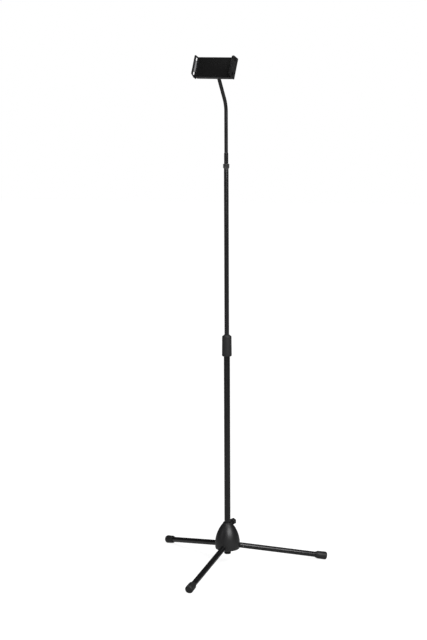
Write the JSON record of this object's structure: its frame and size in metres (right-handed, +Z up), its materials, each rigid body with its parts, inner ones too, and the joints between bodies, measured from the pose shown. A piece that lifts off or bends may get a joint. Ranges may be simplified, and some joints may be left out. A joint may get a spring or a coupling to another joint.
{
  "type": "music stand",
  "caption": "Floor stand for a tablet or music display: folding tripod, telescopic pole, bent swivelling neck and a tilting holder with spring jaws.",
  "frame": {"origin": "on the floor, in the middle of the footprint of the whole stand", "axes": "+Z up along the pole, -Y along the front leg and the way the holder faces, +X to the right as seen by the reader"},
  "size_m": [0.648, 0.5641, 1.8201],
  "materials": {
    "black_steel": "black powder coat",
    "black_casting": "black satin paint on a die casting",
    "black_plastic": "matt black",
    "gloss_plastic": "smooth black",
    "rubber": "black rubber",
    "grey_rubber": "grey rubber",
    "bare_steel": "zinc plated",
    "brass": "plain"
  },
  "bodies": {
    "hub": {"hub_housing": "black_casting", "pole_bush": "black_plastic", "front_leg_pin": "bare_steel", "right_leg_pin": "bare_steel", "left_leg_pin": "bare_steel"},
    "front_leg": {"front_leg_lug": "black_casting", "front_leg_tube": "black_steel", "front_leg_rivet": "bare_steel", "front_foot": "rubber"},
    "right_leg": {"right_leg_lug": "black_casting", "right_leg_tube": "black_steel", "right_leg_rivet": "bare_steel", "right_foot": "rubber"},
    "left_leg": {"left_leg_lug": "black_casting", "left_leg_tube": "black_steel", "left_leg_rivet": "bare_steel", "left_foot": "rubber"},
    "clamp_slider": {"clamp_pad": "brass"},
    "clamp_knob": {"lock_knob": "black_plastic", "lock_screw": "bare_steel"},
    "lower_pole": {"lower_tube": "black_steel", "tube_end_cap": "black_plastic", "clutch_body": "black_plastic", "clutch_collet": "black_plastic"},
    "clutch_ring": {"clutch_nut": "black_plastic", "clutch_grip": "rubber"},
    "upper_pole": {"upper_tube": "black_steel", "tube_guide": "black_plastic", "thread_stud": "black_steel"},
    "jam_nut": {"lock_nut": "black_steel"},
    "neck": {"neck_collar": "black_steel", "neck_tube": "black_steel", "neck_knuckle": "black_casting"},
    "tilt_head": {"tilt_bracket": "black_casting", "tilt_bolt": "bare_steel", "swivel_screw": "bare_steel", "swivel_nut": "bare_steel"},
    "wing_knob": {"tilt_knob": "black_plastic"},
    "holder": {"holder_back": "black_plastic", "holder_front": "gloss_plastic", "face_mat": "rubber", "cover_screw_1": "bare_steel", "cover_screw_2": "bare_steel", "cover_screw_3": "bare_steel", "cover_screw_4": "bare_steel", "pinion_axle": "bare_steel", "return_spring": "bare_steel"},
    "right_grip": {"right_jaw": "black_plastic", "right_guide_rod": "bare_steel", "right_jaw_pad": "grey_rubber"},
    "left_grip": {"left_jaw": "black_plastic", "left_guide_rod": "bare_steel", "left_jaw_pad": "grey_rubber"},
    "gear": {"pinion": "black_plastic"}
  },
  "joints": [
    {"name": "front_leg_fold", "type": "hinge", "parent": "hub", "child": "front_leg", "pos_m": [0, 0.0576, 0.07116], "axis": [1, 0, 0], "range_deg": [0, 78]},
    {"name": "right_leg_fold", "type": "hinge", "parent": "hub", "child": "right_leg", "pos_m": [0.02598, 0.1026, 0.07116], "axis": [-0.5, 0.866, 0], "range_deg": [0, 78]},
    {"name": "left_leg_fold", "type": "hinge", "parent": "hub", "child": "left_leg", "pos_m": [-0.02598, 0.1026, 0.07116], "axis": [-0.5, -0.866, 0], "range_deg": [0, 78]},
    {"name": "clamp_travel", "type": "slide", "parent": "hub", "child": "clamp_slider", "axis": [0.1736, 0.9848, 0], "range_m": [0, 0.00125]},
    {"name": "lock_knob_turn", "type": "hinge", "parent": "clamp_slider", "child": "clamp_knob", "pos_m": [0, 0.0876, 0.1495], "axis": [0.1736, 0.9848, 0], "range_deg": [0, 360]},
    {"name": "pole_slide", "type": "slide", "parent": "hub", "child": "lower_pole", "axis": [0, 0, 1], "range_m": [-0.3, 0]},
    {"name": "clutch_twist", "type": "hinge", "parent": "lower_pole", "child": "clutch_ring", "pos_m": [0, 0.0876, 0.8], "axis": [0, 0, 1], "range_deg": [0, 120]},
    {"name": "mast_slide", "type": "slide", "parent": "lower_pole", "child": "upper_pole", "axis": [0, 0, 1], "range_m": [-0.58, 0.1]},
    {"name": "jam_nut_turn", "type": "hinge", "parent": "upper_pole", "child": "jam_nut", "pos_m": [0, 0.0876, 1.437], "axis": [0, 0, 1], "range_deg": [-60, 0]},
    {"name": "neck_swivel", "type": "hinge", "parent": "upper_pole", "child": "neck", "pos_m": [0, 0.0876, 1.465], "axis": [0, 0, 1], "range_deg": [-180, 180]},
    {"name": "holder_tilt", "type": "hinge", "parent": "neck", "child": "tilt_head", "pos_m": [-0.00758, 0.02999, 1.7534], "axis": [-0.9914, 0.1305, 0], "range_deg": [-40, 55]},
    {"name": "tilt_knob_turn", "type": "hinge", "parent": "tilt_head", "child": "wing_knob", "pos_m": [-0.00758, 0.02999, 1.7534], "axis": [0.9914, -0.1305, 0], "range_deg": [0, 180]},
    {"name": "holder_rotate", "type": "hinge", "parent": "tilt_head", "child": "holder", "pos_m": [-0.00758, 0.02999, 1.7534], "axis": [-0.1234, -0.9374, 0.3256], "range_deg": [-90, 90]},
    {"name": "right_jaw_slide", "type": "slide", "parent": "holder", "child": "right_grip", "axis": [0.9889, -0.1434, -0.038], "range_m": [0, 0.035], "stiffness_N_per_m": 300, "springref_m": -0.02},
    {"name": "left_jaw_slide", "type": "slide", "parent": "holder", "child": "left_grip", "axis": [-0.9889, 0.1434, 0.038], "range_m": [0, 0.035]},
    {"name": "pinion_turn", "type": "hinge", "parent": "holder", "child": "gear", "pos_m": [-0.00927, 0.01287, 1.77412], "axis": [-0.1234, -0.9374, 0.3256], "range_deg": [0, 287]}
  ],
  "couplings": [
    {"joint": "left_jaw_slide", "follows": "right_jaw_slide", "ratio": 1},
    {"joint": "pinion_turn", "follows": "right_jaw_slide", "rad_per_m": 142.86},
    {"joint": "clamp_travel", "follows": "lock_knob_turn", "m_per_rad": 0.00019894}
  ]
}
